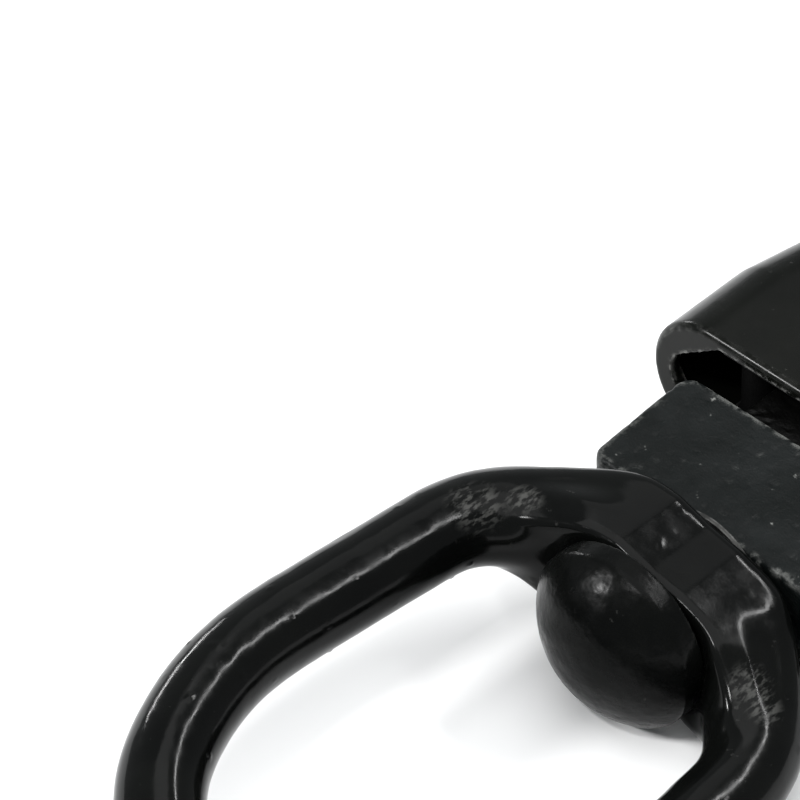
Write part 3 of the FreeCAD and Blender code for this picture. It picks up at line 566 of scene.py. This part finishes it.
def make_finish(name, colour, patch, worn_and_highlight, rough, grain, dents, wear_and_highlight, metal=0.0, gloss=0.5,
                stretch=None, rim=(0.7, 0.80, 0.985), scuff=0.35, painted_highlights=(), painted_shade_range=None):
    """One finish: a main colour, a patch colour, and a light colour where paint is gone, which
    also paints highlights.

    rough = (lowest, highest); grain and dents = (size, depth) in mm; rim = radius in mm and
    the two limits that tell an edge from a face; painted_highlights = places and radii in mm of
    painted highlight patches; painted_shade_range = range along Y in mm painted near-black as
    shade.
    """
    made = Surface(name)
    shader = made.shader
    base = made.blend(made.ramp(made.noise(14.0, 4.0), 0.34, 0.68), colour, patch)
    mask = made.wear_and_highlight_mask(wear_and_highlight, rim, scuff, painted_highlights)
    # Painted shade: near-black over a range along Y, with nothing of the light colour there.
    if painted_shade_range:
        painted_shade = made.along_y(*painted_shade_range)
        base = made.blend(painted_shade, base, PAINTED_SHADE_BLACK)
        mask = made.math("MULTIPLY", mask, made.math("SUBTRACT", 1.0, painted_shade))
    # The light colour goes where paint is gone and where highlights are painted.
    made.link(made.blend(mask, base, worn_and_highlight), shader.inputs["Base Color"])
    spread = made.ramp(made.noise(3.2, 4.0, 0.6, stretch), 0.30, 0.70, rough[0], rough[1])
    made.link(made.math("ADD", spread, made.math("MULTIPLY", mask, 0.12)),
              shader.inputs["Roughness"])
    fine = made.bump(made.noise(grain[0], 3.0, 0.6, stretch), grain[1])
    made.link(made.bump(made.noise(dents[0], 2.0, 0.5), dents[1], fine), shader.inputs["Normal"])
    shader.inputs["Metallic"].default_value = metal
    shader.inputs["Specular IOR Level"].default_value = gloss
    return made.material


def glint_places():
    """Places of the painted highlight patches on the ring as it rests, each with its radius, in
    millimetres.
    """
    flat = np.array([(x, CROWN_MID + y, z) for x, y, z, _ in SHOULDER_GLINTS])
    return list(zip(tilt(flat), [row[3] for row in SHOULDER_GLINTS]))


def finish_table():
    """What each material slot's finish is made of; the pin's head has a duller one."""
    # The third colour marks paint gone from edges and scuffs and, on the ring's shoulders, painted
    # highlights.
    black, black_patch, black_wear_and_highlight = ((0.0018, 0.0020, 0.0019), (0.0030, 0.0033, 0.0030),
                                      (0.14, 0.14, 0.132))
    turned = (1.0, 1.0, 6.0)
    return {
        # The ring's paint also carries painted highlight patches on its shoulders.
        "ring_paint": dict(
            name="ring_gloss_black", colour=black, patch=black_patch, worn_and_highlight=black_wear_and_highlight,
            rough=(0.10, 0.18), grain=(0.55, 0.006), dents=(4.5, 0.025), wear_and_highlight=0.4,
            gloss=0.11, painted_highlights=glint_places()),
        "pin_paint": dict(
            name="pin_satin_black", colour=black, patch=black_patch, worn_and_highlight=black_wear_and_highlight,
            rough=(0.18, 0.32), grain=(0.55, 0.008), dents=(2.6, 0.13), wear_and_highlight=0.4, gloss=0.06),
        # The housing's light edge colour is partly paint gone from edges and partly a painted
        # highlight: the bright lines on the mouth's lip.
        "housing_paint": dict(
            name="housing_satin_black", colour=(0.0026, 0.0030, 0.0024),
            patch=(0.0038, 0.0042, 0.0034), worn_and_highlight=(0.32, 0.32, 0.305),
            rough=(0.17, 0.25), grain=(0.35, 0.004), dents=(7.0, 0.03), wear_and_highlight=1.0,
            gloss=0.10, rim=(1.1, 0.86, 0.99), scuff=0.12),
        "cast_black": dict(
            name="block_cast_black", colour=(0.0030, 0.0040, 0.0038),
            patch=(0.0078, 0.0092, 0.0092), worn_and_highlight=(0.30, 0.305, 0.29),
            rough=(0.28, 0.50), grain=(0.34, 0.08), dents=(2.2, 0.34), wear_and_highlight=1.0,
            gloss=0.11, rim=(1.5, 0.90, 0.992), scuff=0.6, painted_shade_range=SHADED_RANGE),
        # Near-black: this colour also stands in for the shade inside the housing, where these
        # parts are seen through the mouth.
        "dark_steel": dict(
            name="dark_steel_turned", colour=(0.0030, 0.0031, 0.0032),
            patch=(0.0020, 0.0020, 0.0021), worn_and_highlight=(0.04, 0.04, 0.039),
            rough=(0.36, 0.56), grain=(0.30, 0.020), dents=(2.0, 0.04), wear_and_highlight=0.6, gloss=0.08),
        "black_oxide": dict(
            name="black_oxide_steel", colour=(0.011, 0.011, 0.012),
            patch=(0.017, 0.0165, 0.017), worn_and_highlight=(0.14, 0.138, 0.132),
            rough=(0.26, 0.42), grain=(0.25, 0.008), dents=(3.0, 0.03), wear_and_highlight=1.0,
            metal=0.2, gloss=0.4),
        "bare_steel": dict(
            name="dull_turned_steel", colour=(0.040, 0.040, 0.038),
            patch=(0.025, 0.025, 0.024), worn_and_highlight=(0.16, 0.16, 0.155),
            rough=(0.38, 0.56), grain=(0.14, 0.012), dents=(3.0, 0.03), wear_and_highlight=0.8,
            metal=0.6, gloss=0.3, stretch=turned),
        "nipple_steel": dict(
            name="zinc_plate", colour=(0.40, 0.39, 0.37),
            patch=(0.30, 0.30, 0.29), worn_and_highlight=(0.55, 0.54, 0.52),
            rough=(0.24, 0.40), grain=(0.15, 0.006), dents=(1.6, 0.02), wear_and_highlight=0.6, metal=1.0),
        "bronze": dict(
            name="oiled_bronze", colour=(0.30, 0.18, 0.08),
            patch=(0.20, 0.115, 0.05), worn_and_highlight=(0.46, 0.31, 0.15),
            rough=(0.26, 0.46), grain=(0.14, 0.006), dents=(2.2, 0.02), wear_and_highlight=0.7,
            metal=1.0, stretch=turned),
        # Near-black: this colour is partly the rubber's own and partly painted shade inside the
        # housing's mouth.
        "rubber": dict(
            name="moulded_rubber", colour=(0.0016, 0.0016, 0.0016),
            patch=(0.0025, 0.0025, 0.0024), worn_and_highlight=(0.008, 0.008, 0.0078),
            rough=(0.62, 0.80), grain=(0.20, 0.02), dents=(1.4, 0.03), wear_and_highlight=0.5, gloss=0.02),
    }


def dress(thing, material):
    thing.data.materials.clear()
    thing.data.materials.append(material)


def paint_everything(made):
    """Finish every carried-over CAD node by its record slot, and every piece made here."""
    finishes = {key: make_finish(**row) for key, row in finish_table().items()}
    slots = {row["node"]: row["material_slot"] for row in RECORD["subparts"]}
    for node, thing in NODES.items():
        dress(thing, finishes[slots[node]])
    for thing, finish in made:
        dress(thing, finishes[finish])


# ---------------------------------------------------------------- stage, lights and camera

def make_stage():
    """Plain white floor under the lowest point."""
    lowest = CAD_BOX[0][2]
    corners = [(-FLOOR_HALF, -FLOOR_HALF), (FLOOR_HALF, -FLOOR_HALF),
               (FLOOR_HALF, FLOOR_HALF), (-FLOOR_HALF, FLOOR_HALF)]
    mesh = bpy.data.meshes.new("floor")
    mesh.from_pydata([(x, y, lowest) for x, y in corners], [], [(0, 1, 2, 3)])
    floor = bpy.data.objects.new("floor", mesh)
    bpy.context.scene.collection.objects.link(floor)
    white = Surface("floor_white")
    white.shader.inputs["Base Color"].default_value = (0.94, 0.94, 0.94, 1.0)
    white.shader.inputs["Roughness"].default_value = 0.9
    white.shader.inputs["Specular IOR Level"].default_value = 0.0
    floor.data.materials.append(white.material)


def area_light(name, bearing, height, distance, width, length, power):
    """A soft light aimed at the object: bearing from +X and height above the floor, degrees."""
    a, h = math.radians(bearing), math.radians(height)
    away = Vector((math.cos(a) * math.cos(h), math.sin(a) * math.cos(h), math.sin(h)))
    aim = (Vector(CAD_BOX[0]) + Vector(CAD_BOX[1])) / 2
    lamp = bpy.data.lights.new(name, "AREA")
    lamp.shape = "RECTANGLE"
    lamp.size, lamp.size_y = width, length
    lamp.energy = power
    thing = bpy.data.objects.new(name, lamp)
    thing.location = aim + away * distance
    thing.rotation_euler = away.to_track_quat("Z", "Y").to_euler()
    bpy.context.scene.collection.objects.link(thing)


def make_lights():
    """Pale studio: soft light from above, and small lights that draw the thin highlights."""
    world = bpy.data.worlds.new("studio")
    world.use_nodes = True
    backdrop = world.node_tree.nodes["Background"]
    backdrop.inputs["Color"].default_value = SKY_COLOUR
    backdrop.inputs["Strength"].default_value = SKY_STRENGTH
    bpy.context.scene.world = world
    for row in LIGHT_TABLE:
        area_light(*row)


def make_camera():
    back = Vector((math.sin(CAMERA_AZIMUTH) * math.cos(CAMERA_ELEVATION),
                   -math.cos(CAMERA_AZIMUTH) * math.cos(CAMERA_ELEVATION),
                   math.sin(CAMERA_ELEVATION)))
    camera = bpy.data.cameras.new("camera")
    camera.sensor_width = SENSOR_WIDTH
    camera.lens = SENSOR_WIDTH * CAMERA_DISTANCE / SEEN_WIDTH
    camera.clip_end = 20.0
    thing = bpy.data.objects.new("camera", camera)
    thing.location = CAMERA_AIM + back * CAMERA_DISTANCE
    thing.rotation_euler = back.to_track_quat("Z", "Y").to_euler()
    bpy.context.scene.collection.objects.link(thing)
    bpy.context.scene.camera = thing


# ---------------------------------------------------------------- the scene

REFINED = [
    # node, name, body, slot, finish, voxel in mm, rounds of smoothing, relief
    ("swivel_pin", "domed_swivel_pin", "neck", "ring_paint", "pin_paint", 0.35, 3, head_relief),
    ("neck_block", "cast_neck_block", "neck", "cast_black", "cast_black", 0.34, 2, cast_relief),
    ("housing_shell", "painted_housing_shell", "housing", "housing_paint", "housing_paint",
     0.36, 2, smooth_relief),
    ("load_tongue", "cast_load_tongue", "housing", "cast_black", "cast_black", 0.42, 2,
     cast_relief),
]

make_camera()
pieces = [(make_ring(), "ring_paint")]
for node, name, body, slot, finish, voxel, rounds, relief in REFINED:
    pieces.append((refined(node, name, body, voxel, rounds, relief), finish))
paint_everything(pieces)
make_stage()
make_lights()
bpy.context.scene.view_settings.view_transform = "Standard"
